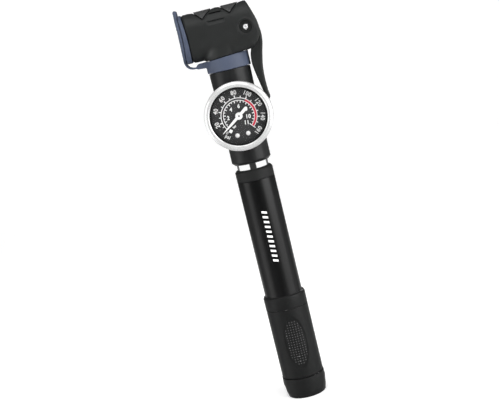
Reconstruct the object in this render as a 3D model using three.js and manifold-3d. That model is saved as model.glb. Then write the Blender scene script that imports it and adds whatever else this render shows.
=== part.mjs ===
// Telescopic bicycle mini pump with a lever-lock head and a dial pressure gauge.
// Millimetres. +Z runs along the pump, head up. The mouth points to -X, the lock lever lies on +X, the dial faces -Y.
// The origin is the centre of the flat end of the handle.
import * as THREE from 'three';
import { mergeVertices } from 'three/addons/utils/BufferGeometryUtils.js';
import Module from 'manifold-3d';

const wasm = await Module();
wasm.setup();

// ---------------------------------------------------------------- driving dimensions
const SEG = 28;                 // facets round the main turned pieces
const FINE = 18;                // facets round small turned pieces
const TINY = 10;                // facets round pins and rings

// handle
const HANDLE_R = 12.6;          // grip sleeve
const END_CAP_R = 12.85;
const END_CAP_TOP = 12.6;
const GRIP_BOTTOM = 12.85;
const GRIP_TOP = 56.5;
const COLLAR_BOTTOM = 56.75;
const COLLAR_TOP = 65.0;

// barrel and gland
const BARREL_R = 11.25;
const BARREL_BORE = 10.35;
const BARREL_BOTTOM = 10.4;
const BARREL_TOP = 137.6;
const GLAND_TOP = 144.5;

// inner tube and piston
const TUBE_R = 9.5;
const TUBE_BORE = 8.3;
const TUBE_BOTTOM = 24.3;
const TUBE_TOP = 158.0;

// gauge housing (neck)
const HOUSING_BOTTOM = 148.3;
const COLLAR_R = 11.75;
const NECK_R = 12.25;
const NECK_TOP_R = 12.45;
const NECK_TOP = 204.6;
const SPIGOT_R = 8.0;
const SPIGOT_TOP = 217.5;
const SOCKET_TOP = 159.6;
const CHAMBER_R = 4.2;
const CHAMBER_TOP = 168.0;
const CHANNEL_R = 1.8;

// gauge
const DIAL_Z = 177.5;           // centre of the dial
const BEZEL_R = 20.0;
const BEZEL_WINDOW = 17.0;
const BEZEL_FRONT = -21.0;
const BEZEL_BACK = -13.3;
const STEM_Z = 167.0;

// head
const MOUTH_Z = 228.1;          // axis of the mouth
const MOUTH_R = 14.0;
const MOUTH_X = -21.2;          // face of the mouth
const CHEEK_Y = 12.5;
const SLOT_Y = 6.6;
const PIN_X = 15.6;
const PIN_Z = 227.0;
const LEVER_Y = 6.0;
const LEVER_STROKE = 2.2;       // plunger travel from the lever's cam

// dust cap
const STRAP_X = -22.0;          // living hinge of the cap's strap
const STRAP_Z = 211.3;

// ---------------------------------------------------------------- helpers
function solid(geometry) {
  let g = geometry;
  g.deleteAttribute('normal');
  if (g.getAttribute('uv')) g.deleteAttribute('uv');
  g = mergeVertices(g, 1e-4);
  const position = g.getAttribute('position');
  const vertProperties = new Float32Array(position.count * 3);
  for (let i = 0; i < position.count; i++) {
    vertProperties[3 * i] = position.getX(i);
    vertProperties[3 * i + 1] = position.getY(i);
    vertProperties[3 * i + 2] = position.getZ(i);
  }
  const index = g.getIndex().array;
  const kept = [];
  let volume = 0;
  const v = (i) => new THREE.Vector3().fromArray(vertProperties, 3 * i);
  for (let i = 0; i < index.length; i += 3) {
    const [a, b, c] = [index[i], index[i + 1], index[i + 2]];
    if (a === b || b === c || a === c) continue;
    kept.push(a, b, c);
    volume += v(a).dot(v(b).cross(v(c)));
  }
  if (volume < 0) for (let i = 0; i < kept.length; i += 3) [kept[i + 1], kept[i + 2]] = [kept[i + 2], kept[i + 1]];
  return new wasm.Manifold(new wasm.Mesh({ numProp: 3, vertProperties, triVerts: new Uint32Array(kept) }));
}

const AXES = {
  z: new THREE.Matrix4().set(0, 0, 1, 0, 1, 0, 0, 0, 0, 1, 0, 0, 0, 0, 0, 1),
  x: new THREE.Matrix4().set(0, 1, 0, 0, 0, 0, 1, 0, 1, 0, 0, 0, 0, 0, 0, 1),
  y: new THREE.Matrix4(),
};

// A turned solid: points are [radius, position along the axis].
function turned(points, axis = 'z', seg = SEG, at = [0, 0, 0]) {
  const profile = points.map(([r, h]) => new THREE.Vector2(r, h));
  const onAxis = points[0][0] === 0 && points[points.length - 1][0] === 0;
  if (!onAxis) profile.push(profile[0].clone());
  const g = new THREE.LatheGeometry(profile, seg);
  g.applyMatrix4(AXES[axis]);
  g.translate(...at);
  return solid(g);
}
const rod = (r, a, b, axis, seg, at) => turned([[0, a], [r, a], [r, b], [0, b]], axis, seg, at);
const ring = (ri, ro, a, b, axis, seg, at) => turned([[ri, a], [ro, a], [ro, b], [ri, b]], axis, seg, at);

function outline(points) {
  const s = new THREE.Shape();
  points.forEach(([x, y], i) => (i ? s.lineTo(x, y) : s.moveTo(x, y)));
  s.closePath();
  return s;
}
// A plate whose outline is drawn in X and Z, from y0 to y1.
function plate(points, y0, y1, holes = []) {
  const s = outline(points);
  for (const h of holes) s.holes.push(outline(h));
  const g = new THREE.ExtrudeGeometry(s, { depth: y1 - y0, bevelEnabled: false, steps: 1 });
  g.rotateX(Math.PI / 2);
  g.translate(0, y1, 0);
  return solid(g);
}
function circle(cx, cz, r, n = TINY) {
  return Array.from({ length: n }, (_, i) => [cx + r * Math.cos((2 * Math.PI * i) / n), cz + r * Math.sin((2 * Math.PI * i) / n)]);
}
function arc(cx, cz, r, from, to, n) {
  return Array.from({ length: n + 1 }, (_, i) => {
    const a = THREE.MathUtils.degToRad(from + ((to - from) * i) / n);
    return [cx + r * Math.cos(a), cz + r * Math.sin(a)];
  });
}
// A band of constant thickness along a line drawn in X and Z.
function band(line, t) {
  const left = [], right = [];
  line.forEach(([x, z], i) => {
    const [ax, az] = line[Math.max(0, i - 1)], [bx, bz] = line[Math.min(line.length - 1, i + 1)];
    const l = Math.hypot(bx - ax, bz - az);
    const nx = (-(bz - az) / l) * (t / 2), nz = ((bx - ax) / l) * (t / 2);
    left.push([x + nx, z + nz]);
    right.unshift([x - nx, z - nz]);
  });
  return [...left, ...right];
}
const join = (...parts) => parts.reduce((a, b) => a.add(b));
const cut = (a, ...tools) => tools.reduce((m, t) => m.subtract(t), a);

const group = new THREE.Group();
group.name = 'mini_pump';
const MAT = {
  matte: [0x26282a, 0.62, 0.0], satin: [0x1d1f21, 0.42, 0.0], anodised: [0x141517, 0.34, 0.6],
  rubber: [0x1b1c1d, 0.85, 0.0], blue: [0x55607a, 0.7, 0.0], chrome: [0xd6d9dc, 0.12, 1.0],
  steel: [0xb9bcbf, 0.3, 1.0], brass: [0xb9964f, 0.35, 1.0], dial: [0x0d0e10, 0.5, 0.0],
  white: [0xf1f1ef, 0.5, 0.0], clear: [0xeef2f4, 0.05, 0.0],
};
function add(name, shape, look) {
  const m = shape.getMesh();
  const g = new THREE.BufferGeometry();
  g.setAttribute('position', new THREE.BufferAttribute(Float32Array.from(m.vertProperties), 3));
  g.setIndex(Array.from(m.triVerts));
  const [color, roughness, metalness] = MAT[look];
  const mesh = new THREE.Mesh(g, new THREE.MeshStandardMaterial({ color, roughness, metalness }));
  mesh.name = name;
  group.add(mesh);
}

// ---------------------------------------------------------------- handle
// End cap: a cup with a flat end.
let endCap = turned([[0, 0], [11.4, 0], [12.5, 0.5], [END_CAP_R, 1.6], [END_CAP_R, END_CAP_TOP], [11.55, END_CAP_TOP], [11.55, 2.2], [0, 2.2]]);
add('handle_end_cap', endCap, 'satin');
add('handle_grip', turned([[11.55, GRIP_BOTTOM], [12.45, GRIP_BOTTOM], [HANDLE_R, 14], [12.7, 48], [12.7, GRIP_TOP], [11.55, GRIP_TOP]]), 'satin');
add('handle_collar', turned([[11.5, COLLAR_BOTTOM], [12.75, COLLAR_BOTTOM], [12.75, 63.6], [12.3, 64.3], [11.6, COLLAR_TOP], [11.5, COLLAR_TOP]]), 'satin');

// ---------------------------------------------------------------- barrel
add('barrel', turned([[BARREL_BORE, BARREL_BOTTOM], [BARREL_R, BARREL_BOTTOM], [BARREL_R, BARREL_TOP], [BARREL_BORE, BARREL_TOP]]), 'anodised');
add('barrel_gland', turned([
  [9.7, 130.4], [10.2, 130.4], [10.2, 137.4], [10.2, 137.8], [BARREL_R, 137.8], [BARREL_R, 143.4], [10.2, GLAND_TOP], [9.7, GLAND_TOP],
  [9.7, 141.8], [10.6, 141.8], [10.6, 139.0], [9.7, 139.0],
]), 'matte');
add('gland_wiper', ring(9.6, 10.5, 139.2, 141.6), 'rubber');
add('barrel_end_plug', turned([
  [0, 8.4], [11.25, 8.4], [11.25, 10.2], [10.2, 10.2], [10.2, 13.0], [8.9, 13.0], [8.9, 15.4], [10.2, 15.4], [10.2, 17.9], [0, 17.9],
]), 'matte');
add('end_plug_oring', ring(9.0, 10.25, 13.4, 15.0, 'z', SEG), 'rubber');

// ---------------------------------------------------------------- inner tube and piston
add('inner_tube', ring(TUBE_BORE, TUBE_R, TUBE_BOTTOM, TUBE_TOP), 'chrome');
add('piston_head', turned([
  [1.6, 19.2], [10.1, 19.2], [10.1, 20.6], [8.7, 20.6], [8.7, 22.6], [10.1, 22.6], [10.1, 24.1], [8.15, 24.1], [8.15, 33.0], [1.6, 33.0],
]), 'matte');
add('piston_seal', ring(8.8, 10.25, 20.9, 22.3), 'rubber');
add('stop_bumper', ring(9.65, 10.15, 24.5, 28.0), 'rubber');

// one-way valve at the top of the tube
add('check_valve_seat', turned([[1.5, 152.5], [8.15, 152.5], [8.15, 158.2], [9.4, 158.2], [9.4, 159.4], [1.5, 159.4]]), 'brass');
add('check_valve_poppet', turned([[0, 159.5], [3.4, 159.5], [3.4, 160.7], [1.1, 160.7], [1.1, 163.6], [0, 163.6]], 'z', FINE), 'rubber');
{
  const turns = 5, r = 2.3, wire = 0.28, z0 = 161.3, z1 = 167.4;
  class Coil extends THREE.Curve {
    getPoint(t, target = new THREE.Vector3()) {
      const a = 2 * Math.PI * turns * t;
      return target.set(r * Math.cos(a), r * Math.sin(a), z0 + (z1 - z0) * t);
    }
  }
  const section = outline(Array.from({ length: 6 }, (_, i) => [wire * Math.cos((Math.PI * i) / 3), wire * Math.sin((Math.PI * i) / 3)]));
  add('check_valve_spring', solid(new THREE.ExtrudeGeometry(section, { steps: turns * 10, extrudePath: new Coil(), bevelEnabled: false })), 'steel');
}

// ---------------------------------------------------------------- gauge housing: collar, neck, gauge boss and spigot in one moulding
let housing = turned([
  [0, HOUSING_BOTTOM], [10.1, HOUSING_BOTTOM], [COLLAR_R, 150.0], [COLLAR_R, 158.0], [NECK_R, 165.0], [NECK_R, 190.0], [NECK_TOP_R, 203.0],
  [NECK_TOP_R, NECK_TOP], [SPIGOT_R, NECK_TOP], [SPIGOT_R, 207.8], [7.1, 207.8], [7.1, 209.8], [SPIGOT_R, 209.8], [SPIGOT_R, SPIGOT_TOP], [0, SPIGOT_TOP],
]);
housing = join(housing, turned([[0, -12.9], [18.2, -12.9], [17.6, -9.6], [14.6, -7.0], [11.6, -5.4], [0, -5.4]], 'y', SEG, [0, 0, DIAL_Z]));
housing = cut(
  housing,
  turned([[0, -14], [16.5, -14], [16.5, -7.4], [0, -7.4]], 'y', SEG, [0, 0, DIAL_Z]),
  turned([[0, 147], [9.65, 147], [9.65, 151.6], [10.5, 151.6], [10.5, 153.8], [9.65, 153.8], [9.65, SOCKET_TOP], [0, SOCKET_TOP]]),
  rod(CHAMBER_R, SOCKET_TOP - 0.5, CHAMBER_TOP, 'z', FINE),
  rod(CHANNEL_R, CHAMBER_TOP - 0.5, SPIGOT_TOP + 1, 'z', TINY),
  rod(2.6, -8, -3, 'y', FINE, [0, 0, STEM_Z]),
);
add('gauge_housing', housing, 'satin');
add('tube_oring', ring(9.6, 10.4, 151.9, 153.5), 'rubber');
add('housing_oring', ring(7.2, 8.1, 208.1, 209.5), 'rubber');

// ---------------------------------------------------------------- gauge
add('gauge_bezel', turned([
  [BEZEL_WINDOW, -20.6], [BEZEL_WINDOW + 0.5, BEZEL_FRONT], [18.4, BEZEL_FRONT], [19.5, -20.5], [BEZEL_R, -19.4], [BEZEL_R, BEZEL_BACK], [18.95, BEZEL_BACK], [18.95, -20.15], [BEZEL_WINDOW, -20.15],
], 'y', 36, [0, 0, DIAL_Z]), 'chrome');
add('gauge_lens', rod(18.6, -20.0, -18.9, 'y', SEG, [0, 0, DIAL_Z]), 'clear');
add('lens_gasket', ring(17.3, 18.6, -18.75, -17.95, 'y', SEG, [0, 0, DIAL_Z]), 'rubber');
add('gauge_case', cut(turned([
  [0, -7.7], [16.2, -7.7], [16.2, -13.2], [18.75, -13.2], [18.75, -17.8], [17.8, -17.8], [17.8, -14.0], [15.2, -14.0], [15.2, -8.7], [0, -8.7],
], 'y', SEG, [0, 0, DIAL_Z]), rod(2.8, -10, -6, 'y', FINE, [0, 0, STEM_Z])), 'satin');
const SCREW = [[-3.2, DIAL_Z - 11], [3.2, DIAL_Z - 11]];
add('dial_plate', plate(circle(0, DIAL_Z, 17.5, 36), -15.6, -15.1, [circle(0, DIAL_Z, 1.0), ...SCREW.map(([x, z]) => circle(x, z, 0.65, 10))]), 'dial');
SCREW.forEach(([x, z], i) => add(i ? 'dial_screw_right' : 'dial_screw_left',
  turned([[0, -16.1], [0.9, -16.05], [1.3, -15.85], [1.3, -15.7], [0.5, -15.7], [0.5, -11.0], [0, -11.0]], 'y', 10, [x, 0, z]), 'white'));
// post that the needle comes to rest against, beside the zero mark
const STOP_AT = (deg, r) => [r * Math.sin(deg * Math.PI / 180), DIAL_Z + r * Math.cos(deg * Math.PI / 180)];
add('needle_stop', plate([STOP_AT(-142.5, 9.2), STOP_AT(-142.0, 10.7), STOP_AT(-134.9, 10.7), STOP_AT(-134.4, 9.2)], -16.5, -15.65), 'white');

// socket block with its stem, drilled through
add('gauge_socket', cut(
  join(plate([[-5, -13.6 + DIAL_Z], [5, -13.6 + DIAL_Z], [5, -7.9 + DIAL_Z], [-5, -7.9 + DIAL_Z]], -12.8, -9.0), rod(2.4, -9.5, -4.7, 'y', FINE, [0, 0, STEM_Z])),
  ring(1.8, 3, -6.9, -5.7, 'y', FINE, [0, 0, STEM_Z]),
  rod(0.8, -11.5, -4, 'y', 10, [0, 0, STEM_Z]),
  ...SCREW.map(([x, z]) => rod(0.65, -14, -10.5, 'y', 10, [x, 0, z])),
), 'brass');
add('socket_oring', ring(1.9, 2.5, -6.7, -5.9, 'y', FINE, [0, 0, STEM_Z]), 'rubber');

// movement: C tube, link, toothed sector, pinion, frame and hairspring
const SECTOR_R = 7.5, PINION_R = 1.2;                       // pitch radii
const PIVOT_A = -35;                                        // direction of the sector's pivot from the dial's centre
const [PX, PZ] = arc(0, 0, SECTOR_R + PINION_R, PIVOT_A, PIVOT_A, 1)[0];
const TAIL_R = 2.3, TAIL_A = -56.12, LINK_A = 55, LINK_L = 7.44;
const [TX, TZ] = arc(PX, PZ, TAIL_R, TAIL_A, TAIL_A, 1)[0];
const LINK = [Math.cos((LINK_A * Math.PI) / 180), Math.sin((LINK_A * Math.PI) / 180)];
const [BX, BZ] = [TX + LINK[0] * LINK_L, TZ + LINK[1] * LINK_L];
const up = (pts) => pts.map(([x, z]) => [x, z + DIAL_Z]);

add('bourdon_tube', join(
  plate(up([...arc(0, 0, 13.4, 242, -7, 30), ...arc(0, 0, 12.0, -7, 242, 30)]), -12.4, -9.4),
  rod(0.3, -13.25, -12.0, 'y', 8, [BX, 0, BZ + DIAL_Z]),
), 'brass');

// spur teeth: a trapezoid on each pitch, thinned for backlash
function toothed(cx, cz, pitchR, add, ded, n, first, count, half) {
  const pts = [];
  for (let i = 0; i < count; i++) {
    const c = first + (i * 360) / n;
    for (const [r, w] of [[pitchR - ded, -half * 1.25], [pitchR + add, -half * 0.55], [pitchR + add, half * 0.55], [pitchR - ded, half * 1.25]]) {
      pts.push(arc(cx, cz, r, c + (w * 360) / n, c + (w * 360) / n, 1)[0]);
    }
  }
  return pts;
}
const TEETH_P = 14, TEETH_S = TEETH_P * (SECTOR_R / PINION_R);   // 14 teeth on the pinion, 87.5 round the sector's full circle
const mesh0 = PIVOT_A + 180;                                    // direction from the sector's pivot to the pinion
const stepS = 360 / TEETH_S;
const sectorTeeth = toothed(PX, PZ, SECTOR_R, 0.16, 0.26, TEETH_S, mesh0 - stepS * 11, 13, 0.2);
add('sector_gear', join(
  plate(up([[PX, PZ], ...sectorTeeth]), -12.6, -11.4),
  plate(up(circle(PX, PZ, 1.3, 16)), -12.6, -11.4),
  plate(up(band([[PX, PZ], [TX, TZ]], 1.3)), -12.6, -11.4),
  plate(up(circle(TX, TZ, 0.65, 12)), -12.6, -11.4),
  rod(0.3, -13.25, -12.0, 'y', 8, [TX, 0, TZ + DIAL_Z]),
  rod(0.5, -13.8, -9.9, 'y', 12, [PX, 0, PZ + DIAL_Z]),
), 'brass');
add('link_rod', cut(
  plate(up(band([[TX - LINK[0] * 1.0, TZ - LINK[1] * 1.0], [BX + LINK[0] * 0.9, BZ + LINK[1] * 0.9]], 1.9)), -13.0, -12.7),
  rod(0.55, -14, -12, 'y', 12, [TX, 0, TZ + DIAL_Z]),
  plate(up(band([[BX - LINK[0] * 2.2, BZ - LINK[1] * 2.2], [BX + LINK[0] * 0.45, BZ + LINK[1] * 0.45]], 1.1)), -14, -12),
), 'steel');
add('pinion', join(
  plate(up(toothed(0, 0, PINION_R, 0.16, 0.26, TEETH_P, PIVOT_A + 180 / TEETH_P, TEETH_P, 0.2)), -12.75, -11.2),
  rod(0.5, -17.3, -9.4, 'y', 12, [0, 0, DIAL_Z]),
), 'brass');
add('movement_frame', cut(
  join(
    plate(up([[-3, -7.4], [10.2, -7.4], [10.2, 2.4], [-3, 2.4]]), -10.9, -10.2),
    plate(up([[-3, -7.4], [8.4, -7.4], [8.4, -3.2], [1.6, 2.4], [-3, 2.4]]), -14.0, -13.45),
    rod(0.7, -13.6, -10.5, 'y', 10, [-2.0, 0, -6.4 + DIAL_Z]),
    rod(0.7, -13.6, -10.5, 'y', 10, [-2.2, 0, 1.6 + DIAL_Z]),
  ),
  rod(0.7, -15, -9, 'y', 12, [0, 0, DIAL_Z]),
  rod(0.7, -15, -9, 'y', 12, [PX, 0, PZ + DIAL_Z]),
), 'brass');
{
  const pts = Array.from({ length: 43 }, (_, i) => {
    const a = (2 * Math.PI * i) / 14, r = 0.85 + (0.5 * a) / (2 * Math.PI);
    return [r * Math.cos(a), r * Math.sin(a)];
  });
  add('hairspring', plate(up(band(pts, 0.12)), -13.25, -12.95), 'steel');
}
// Needle at the zero mark: long tapered pointer, short round-ended tail and a hub with a bore.
{
  const a = THREE.MathUtils.degToRad(90 + 125.5);
  const d = [Math.cos(a), Math.sin(a)], n = [-d[1], d[0]];
  const p = (l, w) => [d[0] * l + n[0] * w, d[1] * l + n[1] * w];
  const blade = plate(up([p(-6.1, -0.55), p(-6.1, 0.55), p(-5.4, 0.8), p(0, 0.8), p(9, 0.45), p(14.2, 0.1), p(14.2, -0.1), p(9, -0.45), p(0, -0.8), p(-5.4, -0.8)]), -16.9, -16.55);
  add('needle', cut(join(blade, rod(2.1, -17.6, -16.3, 'y', FINE, [0, 0, DIAL_Z])), rod(0.7, -17.5, -16, 'y', 12, [0, 0, DIAL_Z])), 'white');
}

// ---------------------------------------------------------------- head
const cheek = [
  [0, 213.0], [12.4, 213.0], [18.1, 214.6], [20.6, 217.3], [22.6, 221.2], [22.7, 225], [22.3, 228.5], [21.6, 231.2], [20.3, 235.9], [19.2, 239.4], [18.3, 241.9], [4, 242.0], [-8, 242.0], [-8, 222],
];
let head = join(
  turned([[0, MOUTH_X], [13.0, MOUTH_X], [MOUTH_R, MOUTH_X + 1.0], [MOUTH_R, 3], [0, 3]], 'x', SEG, [0, 0, MOUTH_Z]),
  plate(cheek, -CHEEK_Y, CHEEK_Y),
  rod(12.5, 212.85, 226, 'z', SEG),
  rod(10.6, 205.0, 214, 'z', SEG),
);
// lever slot between the cheeks, neck bore, air way, mouth bore and the pin's hole with its two recesses
head = cut(
  head,
  plate([[6.8, 236.5], [28, 236.5], [28, 211], [13.3, 211], [13.3, 218.8], [6.8, 220.6]], -SLOT_Y, SLOT_Y),
  turned([[0, 204], [8.2, 204], [8.2, 217.8], [0, 217.8]], 'z', SEG),
  rod(CHANNEL_R, 217, 222, 'z', TINY),
  turned([[0, -22], [10.6, -22], [10.6, -16.7], [8.4, -16.7], [8.4, 1.0], [4.25, 1.0], [4.25, 8], [0, 8]], 'x', FINE, [0, 0, MOUTH_Z]),
  rod(1.8, -14, 14, 'y', FINE, [PIN_X, 0, PIN_Z]),
  rod(3.9, -14, -11.6, 'y', FINE, [PIN_X, 0, PIN_Z]),
  rod(3.9, 11.6, 14, 'y', FINE, [PIN_X, 0, PIN_Z]),
);
add('head_shell', head, 'matte');
add('mouth_nut', turned([[5.5, MOUTH_X], [10.4, MOUTH_X], [10.4, -17.0], [4.6, -17.0], [4.6, -18.0], [5.5, -19.0]], 'x', FINE, [0, 0, MOUTH_Z]), 'matte');
add('valve_grommet', turned([[4.1, -16.5], [8.2, -16.5], [8.2, -6.6], [4.1, -6.6]], 'x', FINE, [0, 0, MOUTH_Z]), 'rubber');
add('plunger', cut(
  turned([[0, -4.1], [8.1, -4.1], [8.1, -1.6], [3.95, -1.6], [3.95, 3.0], [3.0, 3.0], [3.0, 4.8], [3.95, 4.8], [3.95, 9.15], [0, 9.15]], 'x', FINE, [0, 0, MOUTH_Z]),
  rod(2.2, -5, 1.4, 'x', FINE, [0, 0, MOUTH_Z]),
  rod(1.1, MOUTH_Z - 5, MOUTH_Z + 5, 'z', 10, [0.2, 0, 0]),
), 'matte');
add('plunger_oring', ring(3.1, 4.1, 3.2, 4.6, 'x', FINE, [0, 0, MOUTH_Z]), 'rubber');
add('lever_pin', rod(1.6, -12.1, 12.1, 'y', FINE, [PIN_X, 0, PIN_Z]), 'steel');

// Lock lever: a cam round the pin and a slim curved arm.
{
  const cam = Array.from({ length: 19 }, (_, i) => {
    const t = i / 18, deg = 70 + 150 * t;                    // from just past the top round to the lower left
    const lift = Math.min(1, Math.max(0, (180 - deg) / 90));
    const r = 6.1 + LEVER_STROKE * lift * 0.98;
    return arc(PIN_X, PIN_Z, r, deg, deg, 1)[0];
  });
  const arm = [
    [12.6, 221.6], [14.6, 218.0], [15.3, 214.2], [14.3, 210.3], [13.95, 205.5], [14.5, 200.5], [15.55, 194.3], [16.8, 187.5], [17.6, 183.4], [18.3, 182.6], [19.5, 182.6], [19.9, 183.6],
    [19.4, 188.0], [19.2, 193.0], [19.3, 198.0], [19.9, 203.6], [21.3, 210.3], [22.6, 216.0], [23.1, 220.5], [22.9, 225.0], [21.6, 229.6], [19.2, 233.2],
  ];
  add('lock_lever', cut(plate([...cam, ...arm], -LEVER_Y, LEVER_Y), rod(1.85, -8, 8, 'y', FINE, [PIN_X, 0, PIN_Z])), 'matte');
}

// ---------------------------------------------------------------- dust cap: retaining ring, strap and lid, moulded together and parted here at the strap's hinge line
add('cap_ring', join(
  ring(10.8, 12.8, 204.9, 212.55, 'z', SEG),
  cut(plate([[-17.6, 209.1], [-11.5, 208.6], [-11.5, 212.0], [-17.2, 212.0]], -4.5, 4.5), rod(11.4, 200, 220, 'z', SEG)),
  plate(band([[-21.3, 210.95], [-20.2, 210.55], [-16.8, 210.5]], 1.3), -4.0, 4.0),
), 'blue');
add('dust_cap', join(
  rod(13.85, -23.8, -21.5, 'x', SEG, [0, 0, MOUTH_Z]),
  rod(13.6, -25.2, -23.6, 'x', SEG, [0, 0, MOUTH_Z]),
  rod(5.0, -22.5, -19.4, 'x', FINE, [0, 0, MOUTH_Z]),
  plate([[-25.2, 236], [-23.6, 236], [-23.7, 244.6], [-24.6, 245.2], [-25.4, 244.9]], -5.0, 5.0),
  plate(band([[-24.4, 218], [-24.35, 214.6], [-23.9, 213.0], [-22.65, 211.85]], 1.3), -4.0, 4.0),
), 'blue');

export default group;
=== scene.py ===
# Looks for the bicycle mini pump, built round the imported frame. Lengths below are in millimetres unless a name says otherwise.
import math

import bpy
import bmesh
import numpy as np
from mathutils import Matrix, Vector


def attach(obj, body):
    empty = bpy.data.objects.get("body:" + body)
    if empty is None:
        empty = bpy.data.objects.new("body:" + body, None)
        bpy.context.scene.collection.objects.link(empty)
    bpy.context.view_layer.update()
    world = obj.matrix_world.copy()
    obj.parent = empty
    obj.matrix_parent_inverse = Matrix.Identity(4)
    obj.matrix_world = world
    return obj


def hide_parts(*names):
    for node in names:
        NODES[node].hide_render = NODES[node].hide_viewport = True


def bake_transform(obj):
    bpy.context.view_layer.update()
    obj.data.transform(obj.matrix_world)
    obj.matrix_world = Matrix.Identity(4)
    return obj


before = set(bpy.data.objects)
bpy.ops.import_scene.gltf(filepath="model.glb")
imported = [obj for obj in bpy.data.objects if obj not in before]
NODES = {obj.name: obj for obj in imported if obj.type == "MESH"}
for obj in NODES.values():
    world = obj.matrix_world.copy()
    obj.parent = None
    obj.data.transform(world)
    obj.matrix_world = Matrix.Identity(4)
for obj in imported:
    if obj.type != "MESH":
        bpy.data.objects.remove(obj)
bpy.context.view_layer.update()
MM = 0.001
scene = bpy.context.scene

# ------------------------------------------------------------------ camera
TAU, ALPHA, ROLL = math.radians(8.5), math.radians(4.5), math.radians(13.71)
FOCAL_PX, DIST = 990.0, 600.0
ux, uy = math.sin(ROLL), math.cos(ROLL)


def make_camera():
    # camera frame: right, down, forward
    down_axis = np.array([math.cos(TAU) * ux, math.cos(TAU) * uy, math.sin(TAU)])
    p3 = np.array([uy, -ux, 0.0])
    n3 = np.array([math.sin(TAU) * ux, math.sin(TAU) * uy, -math.cos(TAU)])
    neg_y = math.cos(ALPHA) * n3 - math.sin(ALPHA) * p3
    pos_x = math.cos(ALPHA) * p3 + math.sin(ALPHA) * n3
    pos_z = -down_axis
    pump_to_cam = np.stack([pos_x, -neg_y, pos_z], axis=1)
    cam_to_pump = pump_to_cam.T
    p0 = np.array([0.0, 0.0, 125.5])
    centre = p0 - cam_to_pump @ (p3 * 6.61 + np.array([0, 0, DIST]))
    right = cam_to_pump @ np.array([1.0, 0, 0])
    up = cam_to_pump @ np.array([0, -1.0, 0])
    back = cam_to_pump @ np.array([0, 0, -1.0])
    m = Matrix.Identity(4)
    for i in range(3):
        m[i][0], m[i][1], m[i][2], m[i][3] = right[i], up[i], back[i], centre[i] * MM
    data = bpy.data.cameras.new("camera")
    data.sensor_fit = "HORIZONTAL"
    data.sensor_width = 36.0
    data.lens = FOCAL_PX / 500.0 * 36.0
    data.clip_start = 0.01
    data.clip_end = 50
    cam = bpy.data.objects.new("camera", data)
    scene.collection.objects.link(cam)
    cam.matrix_world = m
    scene.camera = cam
    return cam


camera = make_camera()


# ------------------------------------------------------------------ mesh helpers
def new_object(name, verts, faces, smooth_angle=35.0):
    mesh = bpy.data.meshes.new(name)
    verts = np.asarray(verts, dtype=np.float64) * MM
    mesh.from_pydata([tuple(v) for v in verts], [], [tuple(int(i) for i in f) for f in faces])
    mesh.update()
    finish_mesh(mesh, smooth_angle)
    obj = bpy.data.objects.new(name, mesh)
    scene.collection.objects.link(obj)
    return obj


def fast_object(name, verts, quads, smooth_angle=None):
    mesh = bpy.data.meshes.new(name)
    verts = np.asarray(verts, dtype=np.float32) * MM
    quads = np.asarray(quads, dtype=np.int32)
    mesh.vertices.add(len(verts))
    mesh.vertices.foreach_set("co", verts.ravel())
    mesh.loops.add(quads.size)
    mesh.loops.foreach_set("vertex_index", quads.ravel())
    mesh.polygons.add(len(quads))
    mesh.polygons.foreach_set("loop_start", np.arange(0, quads.size, quads.shape[1], dtype=np.int32))
    mesh.update(calc_edges=True)
    mesh.validate()
    mesh.polygons.foreach_set("use_smooth", np.ones(len(mesh.polygons), dtype=bool))
    if smooth_angle is not None:
        mesh.set_sharp_from_angle(angle=math.radians(smooth_angle))
    mesh.update()
    obj = bpy.data.objects.new(name, mesh)
    scene.collection.objects.link(obj)
    return obj


def finish_mesh(mesh, smooth_angle):
    bm = bmesh.new()
    bm.from_mesh(mesh)
    bmesh.ops.remove_doubles(bm, verts=bm.verts, dist=1e-7)
    bmesh.ops.recalc_face_normals(bm, faces=bm.faces)
    bm.to_mesh(mesh)
    bm.free()
    mesh.polygons.foreach_set("use_smooth", np.ones(len(mesh.polygons), dtype=bool))
    mesh.set_sharp_from_angle(angle=math.radians(smooth_angle))
    mesh.update()


def rounded(points, steps=5):
    """points are (r, h) or (r, h, fillet radius); returns the profile with its corners filleted."""
    out = []
    n = len(points)
    for i, p in enumerate(points):
        rad = p[2] if len(p) > 2 else 0
        here = np.array(p[:2], float)
        if rad <= 0 or i in (0, n - 1) and not (n > 2 and len(points[0]) > 2):
            out.append(tuple(here))
            continue
        a, b = np.array(points[i - 1][:2], float), np.array(points[(i + 1) % n][:2], float)
        da, db = (a - here), (b - here)
        la, lb = np.linalg.norm(da), np.linalg.norm(db)
        da, db = da / la, db / lb
        ang = math.acos(max(-1, min(1, float(da @ db))))
        cutl = min(rad / math.tan(ang / 2), 0.49 * la, 0.49 * lb)
        r2 = cutl * math.tan(ang / 2)
        bis = (da + db) / np.linalg.norm(da + db)
        c = here + bis * (r2 / math.sin(ang / 2))
        s, e = here + da * cutl, here + db * cutl
        a0, a1 = math.atan2(*(s - c)[::-1]), math.atan2(*(e - c)[::-1])
        d = (a1 - a0 + math.pi) % (2 * math.pi) - math.pi
        for k in range(steps + 1):
            t = a0 + d * k / steps
            out.append((c[0] + r2 * math.cos(t), c[1] + r2 * math.sin(t)))
    return out


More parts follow.
